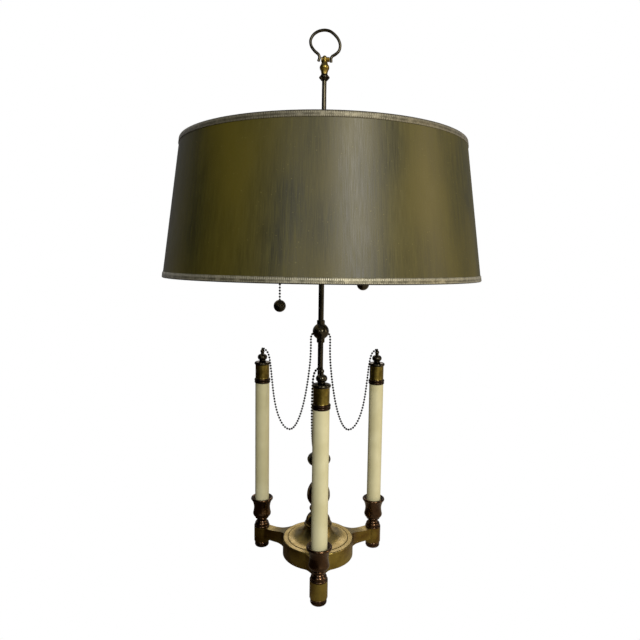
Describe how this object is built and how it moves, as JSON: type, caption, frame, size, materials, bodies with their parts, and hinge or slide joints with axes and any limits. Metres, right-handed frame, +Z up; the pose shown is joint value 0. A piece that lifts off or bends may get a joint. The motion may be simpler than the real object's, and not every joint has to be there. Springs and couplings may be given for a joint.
{
  "type": "bouillotte lamp",
  "caption": "Table lamp with dummy candles and chained snuffer caps on a three-armed cast base, a drum shade that slides on the rod, pull chains and a loop finial.",
  "frame": {"origin": "on the stem's axis, at the level of the feet's undersides", "axes": "+Z up along the stem; the front candle stands towards -Y; the lamp sockets lie along X"},
  "size_m": [0.4592, 0.4592, 0.7997],
  "materials": {
    "antique_brass": "lacquered antique brass, satin",
    "aged_brass": "brushed antique brass, satin",
    "dark_bronze": "dark bronzed brass, semi-gloss",
    "chain_brass": "bronzed bead chain",
    "socket_brass": "brass shell, satin",
    "bulb_cap_metal": "drawn metal screw cap",
    "bulb_glass": "frosted glass",
    "candle_ivory": "ivory lacquer, semi-gloss",
    "plated_steel": "zinc plated",
    "lead_plastic": "dark moulded plastic",
    "shade_card": "brushed olive glaze on stiff card, semi-gloss",
    "trim_tape": "ribbed metallic tape"
  },
  "bodies": {
    "root": {"base_casting": "antique_brass", "column_flare": "antique_brass", "finial_baluster": "antique_brass", "bell_cap": "dark_bronze", "column_ring": "dark_bronze", "column_vase": "dark_bronze", "column_neck": "dark_bronze", "column_knop": "dark_bronze", "chain_ball": "dark_bronze", "stem_tube": "dark_bronze", "upper_rod": "dark_bronze", "cluster_body": "dark_bronze", "foot_ring_front": "dark_bronze", "foot_ring_right": "dark_bronze", "foot_ring_left": "dark_bronze", "candle_cup_front": "dark_bronze", "candle_cup_right": "dark_bronze", "candle_cup_left": "dark_bronze", "finial_collar": "dark_bronze", "finial_loop": "dark_bronze", "snuffer_chain_front": "chain_brass", "snuffer_chain_right": "chain_brass", "snuffer_chain_left": "chain_brass", "socket_nipple_left": "socket_brass", "socket_nipple_right": "socket_brass", "socket_cap_left": "socket_brass", "socket_cap_right": "socket_brass", "socket_shell_left": "socket_brass", "socket_shell_right": "socket_brass", "chain_guide_left": "socket_brass", "chain_guide_right": "socket_brass", "bulb_base_left": "bulb_cap_metal", "bulb_base_right": "bulb_cap_metal", "bulb_glass_left": "bulb_glass", "bulb_glass_right": "bulb_glass", "candle_front": "candle_ivory", "candle_right": "candle_ivory", "candle_left": "candle_ivory", "base_washer": "plated_steel", "base_nut": "plated_steel", "supply_lead": "lead_plastic", "cord_bushing": "lead_plastic"},
    "carrier": {"shade_carrier": "socket_brass"},
    "clamp_knob": {"clamp_screw": "socket_brass"},
    "shade": {"shade_spider": "socket_brass", "shade_shell": "shade_card", "top_trim": "trim_tape", "bottom_trim": "trim_tape", "bottom_wire": "plated_steel"},
    "snuffer_front": {"snuffer_sleeve_front": "aged_brass", "snuffer_finial_front": "dark_bronze"},
    "snuffer_right": {"snuffer_sleeve_right": "aged_brass", "snuffer_finial_right": "dark_bronze"},
    "snuffer_left": {"snuffer_sleeve_left": "aged_brass", "snuffer_finial_left": "dark_bronze"},
    "pull_left": {"pull_chain_left": "chain_brass", "pull_ball_left": "dark_bronze"},
    "pull_right": {"pull_chain_right": "chain_brass", "pull_ball_right": "dark_bronze"}
  },
  "joints": [
    {"name": "shade_height", "type": "slide", "parent": "root", "child": "carrier", "axis": [0, 0, 1], "range_m": [-0.075, 0.085]},
    {"name": "clamp_turn", "type": "hinge", "parent": "carrier", "child": "clamp_knob", "pos_m": [0, 0, 0.616], "axis": [1, 0, 0], "range_deg": [0, 360]},
    {"name": "shade_turn", "type": "hinge", "parent": "carrier", "child": "shade", "pos_m": [0, 0, 0.631], "axis": [0, 0, 1], "continuous": true},
    {"name": "snuffer_lift_front", "type": "slide", "parent": "root", "child": "snuffer_front", "axis": [0, 0, 1], "range_m": [0, 0.035], "deforming": ["snuffer_chain_front"]},
    {"name": "snuffer_lift_right", "type": "slide", "parent": "root", "child": "snuffer_right", "axis": [0, 0, 1], "range_m": [0, 0.035], "deforming": ["snuffer_chain_right"]},
    {"name": "snuffer_lift_left", "type": "slide", "parent": "root", "child": "snuffer_left", "axis": [0, 0, 1], "range_m": [0, 0.035], "deforming": ["snuffer_chain_left"]},
    {"name": "pull_left_draw", "type": "slide", "parent": "root", "child": "pull_left", "axis": [0, 0, -1], "range_m": [0, 0.008], "stiffness_N_per_m": 250},
    {"name": "pull_right_draw", "type": "slide", "parent": "root", "child": "pull_right", "axis": [0, 0, -1], "range_m": [0, 0.008], "stiffness_N_per_m": 250}
  ]
}
